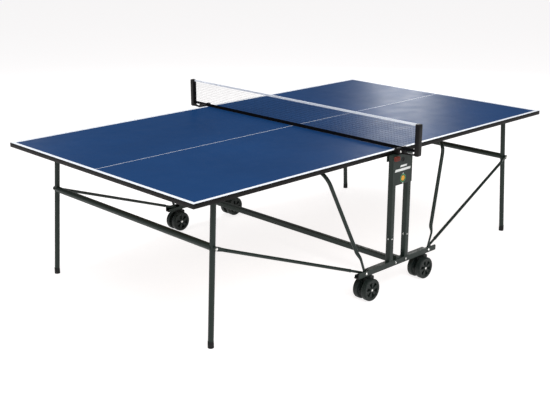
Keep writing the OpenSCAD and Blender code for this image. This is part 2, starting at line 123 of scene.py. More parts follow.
def powder_coat(name, colour, light, rough=0.40, spec=0.28):
    """Textured powder coat: fine orange peel, faint clouding, edges rubbed a little brighter."""
    s = Mat(name, spec=spec)
    cloud = s.noise(7.0, 4.0, 0.6)
    base = s.ramp(cloud, [(0.30, colour), (0.72, light)])
    speck = s.span(s.noise(900.0, 1.0), 0.62, 0.74, 0.0, 0.35)
    base = s.mix(speck, base, tuple(min(1.0, c * 2.0 + 0.004) for c in light))
    worn = s.math("MULTIPLY", s.edges(0.0016), s.span(s.noise(60.0, 3.0), 0.45, 0.75, 0.0, 0.5))
    base = s.mix(worn, base, tuple(min(1.0, c * 2.4 + 0.008) for c in light))
    s.set("Base Color", base)
    s.set("Roughness", s.span(s.noise(25.0, 3.0), 0.3, 0.7, rough - 0.05, rough + 0.09))
    s.bump(s.noise(650.0, 2.0, 0.6), 0.00018, 0.55)
    return s.m


def moulded_plastic(name, colour, light, rough=0.45, grain=1100.0, grain_depth=0.00012):
    """Spark-eroded moulded plastic with a faint bloom and rubbed edges."""
    s = Mat(name, spec=0.24)
    base = s.ramp(s.noise(14.0, 3.0, 0.6), [(0.30, colour), (0.75, light)])
    worn = s.math("MULTIPLY", s.edges(0.0014), s.span(s.noise(90.0, 2.0), 0.40, 0.75, 0.0, 0.45))
    s.set("Base Color", s.mix(worn, base, tuple(min(1.0, c * 2.2 + 0.006) for c in light)))
    s.set("Roughness", s.span(s.noise(40.0, 3.0), 0.3, 0.7, rough - 0.06, rough + 0.10))
    s.bump(s.node("ShaderNodeTexVoronoi", {"Vector": s.coord, "Scale": grain}).outputs["Distance"],
           grain_depth, 0.5)
    return s.m


def zinc_plate(name):
    s = Mat(name, metal=1.0)
    s.set("Base Color", s.ramp(s.noise(160.0, 3.0, 0.6),
                               [(0.25, (0.62, 0.62, 0.60)), (0.75, (0.86, 0.86, 0.83))]))
    s.set("Roughness", s.span(s.noise(320.0, 2.0), 0.3, 0.7, 0.20, 0.36))
    s.bump(s.noise(900.0, 2.0, 0.6), 0.00005, 0.5)
    return s.m


def court_lacquer(name):
    """Matt blue lacquer, rolled on: fine stipple, slow cloudiness, a few faint ball marks."""
    s = Mat(name, spec=0.035)
    cloud = s.noise(1.6, 4.0, 0.55)
    base = s.ramp(cloud, [(0.30, (0.0045, 0.0340, 0.1150)), (0.70, (0.0062, 0.0430, 0.1420))])
    streak = s.noise(22.0, 3.0, 0.6, stretch=(0.25, 3.0, 1.0))
    base = s.mix(s.span(streak, 0.40, 0.75, 0.0, 0.16), base, (0.010, 0.046, 0.150))
    marks = s.node("ShaderNodeTexVoronoi", {"Vector": s.coord, "Scale": 5.0}).outputs["Distance"]
    base = s.mix(s.span(marks, 0.050, 0.030, 0.0, 0.05), base, (0.045, 0.080, 0.190))
    s.set("Base Color", base)
    s.set("Roughness", s.span(s.noise(9.0, 4.0, 0.6), 0.3, 0.7, 0.36, 0.43))
    s.bump(s.noise(520.0, 2.0, 0.65), 0.00016, 0.45)
    return s.m


def line_paint(name):
    s = Mat(name, rough=0.42, spec=0.4)
    base = s.ramp(s.noise(45.0, 4.0, 0.6), [(0.30, (0.76, 0.80, 0.88)), (0.75, (0.90, 0.93, 0.98))])
    s.set("Base Color", base)
    s.set("Roughness", s.span(s.noise(120.0, 2.0), 0.3, 0.7, 0.36, 0.50))
    s.bump(s.noise(520.0, 2.0, 0.65), 0.00016, 0.45)
    return s.m


def chipboard(name):
    """The board's raw underside: pressed wood flakes under a thin dark sealer."""
    s = Mat(name, rough=0.7, spec=0.25)
    flakes = s.node("ShaderNodeTexVoronoi", {"Vector": s.vector((1.0, 2.3, 1.0)), "Scale": 120.0})
    tone = s.math("ADD", s.math("MULTIPLY", flakes.outputs["Distance"], 0.7),
                  s.math("MULTIPLY", s.noise(260.0, 4.0), 0.5))
    base = s.ramp(tone, [(0.18, (0.090, 0.060, 0.036)), (0.50, (0.190, 0.130, 0.080)),
                         (0.85, (0.30, 0.215, 0.135))])
    s.set("Base Color", s.mix(s.span(s.noise(3.0, 3.0), 0.3, 0.7, 0.10, 0.35), base,
                              (0.05, 0.045, 0.04)))
    s.set("Roughness", s.span(tone, 0.2, 0.9, 0.55, 0.80))
    s.bump(tone, 0.0003, 0.5)
    return s.m


def woven(name, colour, light, pitch, rough=0.8):
    """A plain weave of the given thread pitch, across Y and Z."""
    s = Mat(name, rough=rough, spec=0.25 if light[0] > 0.1 else 0.02)
    s.b.inputs["Sheen Weight"].default_value = 0.25 if light[0] > 0.1 else 0.0
    s.b.inputs["Sheen Roughness"].default_value = 0.5
    k = 2 * pi / pitch / 20.0
    warp = s.node("ShaderNodeTexWave", {"Vector": s.coord, "Scale": k, "Distortion": 0.6,
                                        "Detail": 1.0},
                  wave_type="BANDS", bands_direction="Y").outputs["Fac"]
    weft = s.node("ShaderNodeTexWave", {"Vector": s.coord, "Scale": k, "Distortion": 0.6,
                                        "Detail": 1.0},
                  wave_type="BANDS", bands_direction="Z").outputs["Fac"]
    cloth = s.math("MULTIPLY", s.math("ADD", warp, weft), 0.5)
    cloth = s.math("ADD", cloth, s.math("MULTIPLY", s.noise(700.0, 3.0), 0.25))
    s.set("Base Color", s.ramp(cloth, [(0.15, colour), (0.85, light)]))
    s.set("Roughness", s.span(cloth, 0.1, 1.1, rough + 0.1, rough - 0.08))
    s.bump(cloth, 0.0003, 0.7)
    return s.m


def rubber(name):
    s = Mat(name, rough=0.75, spec=0.3)
    base = s.ramp(s.noise(30.0, 4.0, 0.65), [(0.30, (0.005, 0.0055, 0.0055)),
                                             (0.75, (0.012, 0.0125, 0.0125))])
    s.set("Base Color", base)
    s.set("Roughness", s.span(s.noise(80.0, 3.0), 0.3, 0.7, 0.62, 0.85))
    s.bump(s.noise(1500.0, 2.0, 0.6), 0.0001, 0.5)
    return s.m


PAINT = powder_coat("frame_powder_coat", (0.0085, 0.0165, 0.0130), (0.0125, 0.0225, 0.0180))
RAIL = powder_coat("edge_rail_paint", (0.0030, 0.0026, 0.0026), (0.0052, 0.0046, 0.0045), 0.40, 0.12)
BLACK = moulded_plastic("black_moulding", (0.0036, 0.0028, 0.0030), (0.0065, 0.0052, 0.0054), 0.40)
CAP = moulded_plastic("end_cap_moulding", (0.0035, 0.0035, 0.0035), (0.0065, 0.0065, 0.0065), 0.42)
WHEEL = moulded_plastic("wheel_moulding", (0.0060, 0.0105, 0.0090), (0.0100, 0.0160, 0.0138), 0.44)
FORK = moulded_plastic("fork_moulding", (0.0050, 0.0075, 0.0068), (0.0085, 0.0118, 0.0108), 0.46)
NYLON = moulded_plastic("nylon_glide", (0.0110, 0.0110, 0.0110), (0.0200, 0.0200, 0.0200), 0.5)
RED = moulded_plastic("red_latch", (0.085, 0.012, 0.007), (0.14, 0.020, 0.012), 0.40, 1400.0, 0.00006)
ZINC = zinc_plate("zinc_plate")
BLUE = court_lacquer("court_lacquer")
WHITE = line_paint("line_paint")
CHIP = chipboard("sealed_chipboard")
TAPE = woven("white_tape", (0.70, 0.74, 0.84), (0.90, 0.93, 0.99), 0.0011)
BAND = woven("black_band", (0.0025, 0.0025, 0.0035), (0.0070, 0.0070, 0.0090), 0.0012)
CORD = woven("net_cord", (0.0008, 0.0012, 0.0025), (0.0018, 0.0025, 0.0050), 0.0007)
RUBBER = rubber("foot_rubber")
DECAL_PALE = moulded_plastic("decal_pale", (0.66, 0.68, 0.66), (0.80, 0.82, 0.80), 0.35, 1600.0,
                             0.00003)
DECAL_AMBER = moulded_plastic("decal_amber", (0.62, 0.30, 0.02), (0.80, 0.42, 0.04), 0.35, 1600.0,
                              0.00003)
DECAL_GREEN = moulded_plastic("decal_green", (0.05, 0.22, 0.09), (0.08, 0.30, 0.13), 0.35, 1600.0,
                              0.00003)


# ---- mesh helpers: everything below is drawn in millimetres, in the table's frame -----

def round_edges(o, width):
    """Bevels the object's sharp edges by width millimetres."""
    m = o.modifiers.new("edges", "BEVEL")
    m.width = width * 0.001
    m.segments = 2
    m.limit_method = "ANGLE"
    m.angle_limit = radians(35.0)
    m.harden_normals = True


class Shape:
    """Gathers closed pieces of mesh and turns them into one object."""

    def __init__(self):
        self.verts, self.faces, self.mats = [], [], []

    def add(self, verts, faces, mat=0):
        n = len(self.verts)
        self.verts += [Vector(v) for v in verts]
        self.faces += [tuple(n + i for i in f) for f in faces]
        self.mats += mat if isinstance(mat, list) else [mat] * len(faces)
        return self

    def loft(self, rings, mat=0, closed=False):
        """Joins rings of equal length, with flat caps on the first and last unless it is closed."""
        k = len(rings[0])
        faces = []
        for r in range(len(rings) - (0 if closed else 1)):
            a, b = r * k, ((r + 1) % len(rings)) * k
            faces += [(a + i, a + (i + 1) % k, b + (i + 1) % k, b + i) for i in range(k)]
        if not closed:
            faces.append(tuple(range(k))[::-1])
            faces.append(tuple((len(rings) - 1) * k + i for i in range(k)))
        return self.add([p for ring in rings for p in ring], faces, mat)

    def sweep(self, path, section, up, mat=0, closed=False):
        """Sweeps section(i) -> [(side, up)] along path; up stays perpendicular to the path's plane."""
        path = [Vector(p) for p in path]
        up = Vector(up).normalized()
        rings = []
        n = len(path)
        for i, p in enumerate(path):
            a = path[(i - 1) % n] if closed or i > 0 else path[0]
            b = path[(i + 1) % n] if closed or i < n - 1 else path[-1]
            t = (b - a).normalized()
            side = t.cross(up).normalized()
            lift = side.cross(t).normalized()
            rings.append([p + side * u + lift * v for u, v in section(i)])
        return self.loft(rings, mat, closed)

    def lathe(self, profile, origin, axis, mat=0, steps=32, closed=True):
        """Turns [(radius, height)] about axis. A closed profile makes a ring, an open one a spindle."""
        axis = Vector(axis).normalized()
        side = axis.orthogonal().normalized()
        other = axis.cross(side)
        origin = Vector(origin)
        rings = []
        for j in range(steps):
            d = side * cos(2 * pi * j / steps) + other * sin(2 * pi * j / steps)
            rings.append([origin + d * r + axis * h for r, h in profile])
        k = len(profile)
        faces = []
        verts = [p for ring in rings for p in ring]
        for j in range(steps):
            a, b = j * k, ((j + 1) % steps) * k
            for i in range(k if closed else k - 1):
                i2 = (i + 1) % k
                faces.append((a + i, b + i, b + i2, a + i2))
        if not closed:
            for at, (r, h) in ((0, profile[0]), (k - 1, profile[-1])):
                if r > 1e-6:
                    faces.append(tuple(j * k + at for j in range(steps)))
        return self.add(verts, faces, mat)

    def prism(self, outline, direction, mat=0):
        """A flat outline of 3-D points pushed along direction."""
        d = Vector(direction)
        base = [Vector(p) for p in outline]
        return self.loft([base, [p + d for p in base]], mat)

    def box(self, low, high, mat=0):
        x0, y0, z0 = low
        x1, y1, z1 = high
        return self.prism([(x0, y0, z0), (x1, y0, z0), (x1, y1, z0), (x0, y1, z0)], (0, 0, z1 - z0),
                          mat)

    def turned(self, sx, sy):
        """The same shape at another corner of the table."""
        self.verts = [Vector((v.x * sx, v.y * sy, v.z)) for v in self.verts]
        return self

    def make(self, name, body, mats, bevel=0.0, smooth=40.0, replaces=(), slot=None):
        mesh = bpy.data.meshes.new(name)
        mesh.from_pydata([v * 0.001 for v in self.verts], [], self.faces)
        for m in mats if isinstance(mats, (list, tuple)) else [mats]:
            mesh.materials.append(m)
        mesh.polygons.foreach_set("material_index", self.mats)
        b = bmesh.new()
        b.from_mesh(mesh)
        bmesh.ops.remove_doubles(b, verts=b.verts, dist=2e-6)
        bmesh.ops.dissolve_degenerate(b, edges=b.edges, dist=1e-6)
        bmesh.ops.recalc_face_normals(b, faces=b.faces)
        for e in b.edges:
            e.smooth = len(e.link_faces) != 2 or e.calc_face_angle(0.0) < radians(smooth)
        for f in b.faces:
            f.smooth = True
        b.to_mesh(mesh)
        b.free()
        o = bpy.data.objects.new(name, mesh)
        scene.collection.objects.link(o)
        if bevel:
            round_edges(o, bevel)
        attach(o, body)
        if replaces:
            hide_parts(*replaces)
        return o


def circle(r, steps):
    return [(r * cos(2 * pi * i / steps), r * sin(2 * pi * i / steps)) for i in range(steps)]


def rounded(w, h, r, steps=4):
    """A w by h rectangle with rounded corners, counter-clockwise."""
    points = []
    for cx, cy, a in ((w / 2 - r, h / 2 - r, 0), (r - w / 2, h / 2 - r, 90),
                      (r - w / 2, r - h / 2, 180), (w / 2 - r, r - h / 2, 270)):
        for i in range(steps + 1):
            t = radians(a + 90.0 * i / steps)
            points.append((cx + r * cos(t), cy + r * sin(t)))
    return points


def keep(node, material, bevel):
    """A CAD node whose shape is right: it gets the finish, and rounded edges."""
    o = NODES[node]
    if not o.data.materials:
        o.data.materials.append(material)
    for s in o.material_slots:
        s.material = material
    round_edges(o, bevel)


def screw(shape, at, direction, r, h, hexed=False):
    """A domed screw head with its washer, standing on the point at."""
    d = Vector(direction).normalized()
    if hexed:
        side = d.orthogonal().normalized()
        other = d.cross(side)

        def ring(rad, up):
            return [Vector(at) + side * rad * cos(pi / 3 * i) + other * rad * sin(pi / 3 * i) + d * up
                    for i in range(6)]

        shape.lathe([(0, 0), (r, 0), (r, h * 0.22), (0, h * 0.22)], at, d, 0, 28, closed=False)
        shape.loft([ring(r * 0.82, h * 0.2), ring(r * 0.82, h * 0.85), ring(r * 0.66, h)])
        return
    dome = [(0, 0), (r, 0), (r, h * 0.22), (r * 0.93, h * 0.45), (r * 0.76, h * 0.74),
            (r * 0.52, h * 0.93),
            (r * 0.36, h), (r * 0.33, h * 0.97), (r * 0.30, h * 0.55), (0, h * 0.50)]
    shape.lathe(dome, at, d, 0, 28, closed=False)


def square_tube(shape, a, b, side, wall, radius, up, slot=None):
    """A square tube with rounded corners from a to b.

    slot = (start, end, width) cuts the side facing -up.
    """
    a, b, up = Vector(a), Vector(b), Vector(up).normalized()
    t = (b - a).normalized()
    sideways = t.cross(up).normalized()

    def profile(s, r, cut):
        pts = rounded(s, s, r)
        # two extra points on the face towards -up, at the slot's edges
        last = len(pts) - 5
        return pts[:last] + [(-cut, -s / 2), (cut, -s / 2)] + pts[last:]

    width = slot[2] / 2 if slot else side / 4
    outer = profile(side, radius, width)
    inner = profile(side - 2 * wall, max(0.6, radius - wall), width)
    k = len(outer)
    length = (b - a).length
    stops = [0.0, length] if not slot else [0.0, slot[0], slot[1], length]
    verts = []
    for s in stops:
        for prof in (outer, inner):
            verts += [a + t * s + sideways * u + up * v for u, v in prof]
    edge = k - 6          # index of the first slot point
    faces = []
    for n in range(len(stops) - 1):
        lo, hi = n * 2 * k, (n + 1) * 2 * k
        for i in range(k):
            j = (i + 1) % k
            if slot and n == 1 and i == edge:
                faces += [(lo + i, hi + i, hi + k + i, lo + k + i),
                          (lo + j, lo + k + j, hi + k + j, hi + j),
                          (lo + i, lo + k + i, lo + k + j, lo + j),
                          (hi + i, hi + j, hi + k + j, hi + k + i)]
                continue
            faces += [(lo + i, lo + j, hi + j, hi + i),
                      (lo + k + i, hi + k + i, hi + k + j, lo + k + j)]
    for at in (0, (len(stops) - 1) * 2 * k):
        for i in range(k):
            j = (i + 1) % k
            faces.append((at + i, at + k + i, at + k + j, at + j))
    shape.add(verts, faces)


# ---- carriage ----------------------------------------------------------------------

# millimetres: heights of the bottom bars and of the slider at rest, plane and spacing of the columns
BAR_Z, CARR_Y, COL_X, SLIDER_Z = 148.0, 781.0, 63.0, 718.0
BAR_TOP = 163.0                  # top face of the bottom bars and the cross beam
OUTER, INNER = 796.0, 766.0      # the carriage's outer and inner faces
TRAVEL = 411.8                   # the slider's drop
BOLT_X = 262.0                   # the bolt that the strut's and the brace's feet meet
CROSS_Z = 486.0                  # the leg crossbar and the brace's pin
LEG_R, CROSSBAR_R, STRUT_R, BRACE_R, ROD_R = 14.0, 16.5, 10.0, 8.5, 6.9
WHEEL_R = 60.0
STOP_Z = SLIDER_Z - TRAVEL - 14 - 3 - 0.3

for end, sy in ENDS:
    # base bar: the end slots that take the struts' feet are in the CAD node, so it stays
    keep("base_bar_" + end, PAINT, 0.9)
    for side, sx in SIDES:
        s = Shape()
        square_tube(s, (COL_X, CARR_Y, BAR_TOP), (COL_X, CARR_Y, 736), 30, 2, 3.2, (0, 1, 0),
                    slot=(SLIDER_Z - TRAVEL - 10 - BAR_TOP, SLIDER_Z + 10 - BAR_TOP, 12))
        # weld bead round the foot of the tube
        bead = [(COL_X + u, CARR_Y + v, 163.9) for u, v in rounded(30.6, 30.6, 3.4)]
        s.sweep(bead, lambda i: circle(1.3, 8), (0, 0, 1), closed=True)
        s.turned(sx, sy).make("guide_tube_%s_%s_rolled" % (end, side), "carriage", PAINT,
                              replaces=["guide_tube_%s_%s" % (end, side)], slot="frame_paint")
    keep("column_plate_" + end, PAINT, 0.8)

    # generic sticker: two pale bars and a disc in a ring
    s = Shape()
    y = sy * 799.0
    for x0, x1, z0, z1, lean in ((-22, 30, 673, 683, 4), (-64, 60, 652, 665, 5)):
        outline = [(x0, y, z0), (x1, y, z0), (x1 + lean, y, z1), (x0 + lean, y, z1)]
        s.prism(outline, (0, sy * 0.25, 0), 0)
    s.prism([(4 + u, y, 611 + v) for u, v in circle(14, 40)], (0, sy * 0.30, 0), 1)
    s.lathe([(18.0, 0), (22.5, 0), (22.5, 0.25), (18.0, 0.25)], (4, y, 611), (0, sy, 0), 2, 48)
    for dz in (-1, 1):
        s.prism([(4 - 5, y, 611 + dz * 24), (4 + 5, y, 611 + dz * 24), (4, y, 611 + dz * 29.5)],
                (0, sy * 0.25, 0), 0)
    s.make("column_sticker_" + end, "carriage", [DECAL_PALE, DECAL_AMBER, DECAL_GREEN])
    # painted shade: a near-black plug closes the plate's round hole and stands in for the shade inside
    # it
    hole_shade_plug = [(0, -2.4), (9.8, -2.4), (9.8, 0.2), (12.4, 0.3), (12.4, 1.0), (11.4, 1.7), (8.2, 1.7),
            (7.2, 0.9), (6.6, -0.8), (0, -0.8)]
    Shape().lathe(hole_shade_plug, (0, y, 712), (0, sy, 0), 0, 36, closed=False).make(
        "plate_hole_shade_plug_" + end, "carriage", BLACK)

# end caps: ribbed plugs with a rounded lid
s = Shape()
for sx in (-1, 1):
    for sy in (-1, 1):
        c = Shape()
        # low where the feet pass over it, full height beside the slot
        for y, z, w, h, r in ((CARR_Y + 0.25, 136.75, 30.5, 8.5, 2.4),
                              (CARR_Y + 13.25, 150.0, 4.5, 21.0, 1.6)):
            lid = [(320.0, 0), (321.6, 0), (324.3, -0.3), (325.0, -0.9)]
            c.loft([[(x, y + u * (w + 2 * g) / w, z + v * (h + 2 * g) / h)
                     for u, v in rounded(w, h, r, 4)] for x, g in lid])
        for k in range(3):
            c.box((314.5 + k * 1.9, CARR_Y - 12.6, BAR_Z - 12.6),
                  (315.5 + k * 1.9, CARR_Y + 12.6, BAR_Z - 8.4))
        c.turned(sx, sy)
        s.add(c.verts, c.faces, c.mats)
s.make("bar_end_caps_ribbed", "carriage", CAP, replaces=["bar_end_caps"], slot="black_plastic")

# cross beam with its saddles
s = Shape()
square_tube(s, (0, -INNER, BAR_Z), (0, INNER, BAR_Z), 30, 2, 3.2, (0, 0, 1))
for sy in (-1, 1):
    bead = [(u, sy * (INNER - 0.9), BAR_Z + v) for u, v in rounded(30.6, 30.6, 3.4)]
    s.sweep(bead, lambda i: circle(1.3, 8), (0, 1, 0), closed=True)
s.make("cross_beam_rolled", "carriage", PAINT, replaces=["cross_beam"], slot="frame_paint")
s = Shape()
for sy in (-1, 1):
    outline = [(-22, 163), (22, 163), (21.4, 165.6), (19, 168), (16.2, 171.5), (14.4, 175.4),
               (12.6, 176.7), (10.5, 177),
               (-10.5, 177), (-12.6, 176.7), (-14.4, 175.4), (-16.2, 171.5), (-19, 168), (-21.4, 165.6)]
    y0, y1 = sorted((sy * (OUTER - 4), sy * (OUTER - 52)))
    s.prism([(x, y0, z) for x, z in outline], (0, y1 - y0, 0))
s.make("beam_saddles", "carriage", PAINT, 0.8, slot="frame_paint")

# bolts of the base bars, slider stops and clamps
s = Shape()
for sy in (-1, 1):
    for sx in (-1, 1):
        screw(s, (sx * BOLT_X, sy * OUTER, BAR_Z), (0, sy, 0), 7, 4, hexed=True)
        screw(s, (sx * COL_X, sy * OUTER, STOP_Z), (0, sy, 0), 4.6, 3)
        screw(s, (sx * (COL_X + 15), sy * CARR_Y, STOP_Z), (sx, 0, 0), 4.0, 2.6)
        screw(s, (sx * (COL_X - 15), sy * CARR_Y, STOP_Z), (-sx, 0, 0), 4.0, 2.6)
    for x in (22, -62):
        screw(s, (sy * x, sy * OUTER, BAR_Z), (0, sy, 0), 6, 4)
    screw(s, (-21, sy * (OUTER + 1), 755), (0, sy, 0), 6, 4)
s.make("carriage_bolt_heads", "carriage", ZINC, replaces=["carriage_bolts"], slot="zinc")

# red latches with grip ribs, and their plungers
for (end, sy), sx in zip(ENDS, (-1, 1)):
    s = Shape()
    rings = []
    for y, inset in ((800.5, 1.4), (801.4, 0.3), (810.0, 0.0), (812.0, 0.8), (812.9, 2.6)):
        rings.append([(58 + u * (40 - 2 * inset) / 40, y, 725 + v * (24 - 2 * inset) / 24)
                      for u, v in rounded(40, 24, 5, 5)])
    s.loft(rings, 0)
    for k in range(6):
        s.box((43.6 + k * 5.4, 812.0, 716.5), (45.4 + k * 5.4, 813.5, 733.5), 0)
    s.lathe([(0, 0), (5, 0), (5, 7.4), (0, 7.4)], (COL_X, 794.3, SLIDER_Z), (0, 1, 0), 1, 24,
            closed=False)
    s.turned(sx, sy).make("lock_latch_" + end, "lock_" + end, [RED, ZINC], 0.5,
                          replaces=["lock_knob_" + end], slot="red_plastic")


# ---- net ---------------------------------------------------------------------------

POST_IN, NET_TOP, BAND_LOW = 877.0, 912.5, 761.5     # post's inner face, tape's top, band's bottom

for end, sy in ENDS:
    s = Shape()
    # pad on the table edge and the screw housing above it
    pad = [(764, 741.5), (764, 765), (766.5, 769.5), (771, 772.5), (777, 774), (784, 774), (790, 772.6),
           (794.5, 769.5), (796.6, 765), (797, 760), (797, 741.5), (795.5, 740.0), (765.5, 740.0)]
    rings = []
    for x, k in ((-36, 0.90), (-35, 0.965), (-33, 1.0), (33, 1.0), (35, 0.965), (36, 0.90)):
        rings.append([(x, 780.5 + (y - 780.5) * k, 757 + (z - 757) * k if z > 742 else z)
                      for y, z in pad])
    s.loft(rings)
    # arm: a slim curved bar from the clamp to the post's foot, open under the band
    rings = []
    for i in range(25):
        t = i / 24
        y = 796.5 + (POST_IN + 1 - 796.5) * t
        low = 741.0 + 3.0 * t * t * (3 - 2 * t)
        rise = (max(0.0, 1 - abs(y - 796.5) / 13.0) ** 1.6
                + max(0.0, 1 - abs(y - POST_IN - 1) / 13.0) ** 1.6)
        top = low + 8.0 + (765.5 - low - 8.0) * min(1.0, rise)
        w = 8.0 + 1.5 * min(1.0, rise)
        rings.append([(u, y, v) for u, v in ((w - 1.5, low), (w, low + 1.5), (w, top - 2),
                                             (w - 0.6, top - 0.6), (w - 2.2, top),
                                               (2.2 - w, top), (0.6 - w, top - 0.6), (-w, top - 2),
                                             (-w, low + 1.5), (1.5 - w, low))])
    s.loft(rings)
    # clamp-plate ribs
    for x in (-30, 16, 23, 30):
        s.box((x - 1, 796.5, 742), (x + 1, 798.4, 764))
    s.turned(1, sy).make("net_clamp_%s_moulded" % end, "carriage", BLACK, 0.5,
                         replaces=["net_clamp_" + end], slot="black_plastic")

    s = Shape()
    rings = []
    for z, g, back in ((744.0, 2.6, 7.0), (745.2, 1.2, 4.6), (748.0, 0.2, 2.0), (753.0, 0.0, 0.4),
                       (880.0, 0.0, 0.0),
                       (906.0, 0.0, 0.0), (909.5, 0.6, 0.6), (911.6, 1.9, 1.9), (912.5, 3.8, 3.8)):
        rings.append([(u * (28 - 2 * g) / 28, 891.0 - back * 0.4 + v * (28 - 1.2 * back - g) / 28, z)
                      for u, v in rounded(28, 28, 4.5, 5)])
    s.loft(rings)
    # channel that takes the net's edge, and two flutes down the outer face
    for x in (-4.2, 3.0):
        s.box((x, 876.4, 780), (x + 1.2, 878.5, 908))
    for x in (-7.5, 6.3):
        s.box((x, 903.6, 756), (x + 1.2, 905.0, 904))
    s.turned(1, sy).make("net_post_%s_moulded" % end, "carriage", BLACK, 0.4,
                         replaces=["net_post_" + end], slot="black_plastic")

# net: square mesh, one closed prism for each cord; pitch and thickness in mm
s = Shape()
PITCH, THICK = 10.0, 0.41
low, high = BAND_LOW + 15.0, NET_TOP - 11.0
columns = int(2 * POST_IN / PITCH)
for i in range(columns + 1):
    y = -POST_IN + 2 * POST_IN * i / columns
    y = max(-POST_IN + 0.8, min(POST_IN - 0.8, y))
    s.loft([[(THICK * cos(a), y + THICK * sin(a), z) for a in (0, pi / 2, pi, 3 * pi / 2)]
            for z in (low, high)])
rows = int((high - low) / PITCH)
for i in range(1, rows):
    z = low + (high - low) * i / rows
    s.loft([[(THICK * cos(a), y, z + THICK * sin(a)) for a in (0, pi / 2, pi, 3 * pi / 2)]
            for y in (-POST_IN + 0.5, POST_IN - 0.5)])
net = s.make("net_cords", "carriage", CORD, smooth=180.0, replaces=["net"], slot="net_cord")

# tape: folded over a headline cord, with two lines of stitching
s = Shape()
hem = [(1.50, 900.5), (1.05, 901.0), (1.00, 903.0), (1.10, 905.0), (1.40, 907.2), (1.50, 909.4),
       (1.38, 911.1), (0.85, 912.2), (0.0, 912.5)]
section = hem + [(-x, z) for x, z in hem[-2::-1]]
steps = 60
rings = []
for i in range(steps + 1):
    y = -POST_IN + 2 * POST_IN * i / steps
    rings.append([(x * (1.0 - 0.03 * (1 + sin(i * 2.4))), y, z) for x, z in section])
s.loft(rings)
tape = s.make("net_tape_folded", "carriage", TAPE, replaces=["net_top_tape"], slot="tape_white")
s = Shape()
for sx in (-1, 1):
    for z in (902.2, 906.4):
        for i in range(220):
            y = -POST_IN + 6 + (2 * POST_IN - 12) * i / 219
            s.box((sx * 1.15 - 0.2, y - 2.6, z - 0.3), (sx * 1.15 + 0.2, y + 2.6, z + 0.3))
stitch = s.make("net_tape_stitches", "carriage", DECAL_PALE, smooth=180.0)

s = Shape()
section = [(1.1, 761.5), (1.5, 762.3), (1.35, 765.5), (1.35, 773.5), (1.5, 776.6), (1.0, 777.5)]
section = section + [(-x, z) for x, z in section[::-1]]
rings = [[(x, -POST_IN + 2 * POST_IN * i / steps, z) for x, z in section] for i in range(steps + 1)]
s.loft(rings)
band = s.make("net_band_woven", "carriage", BAND, replaces=["net_bottom_band"], slot="band_black")
flat = (2 * POST_IN / 1000, (high - low) / 1000)


# ---- folding halves ------------------------------------------------------------------

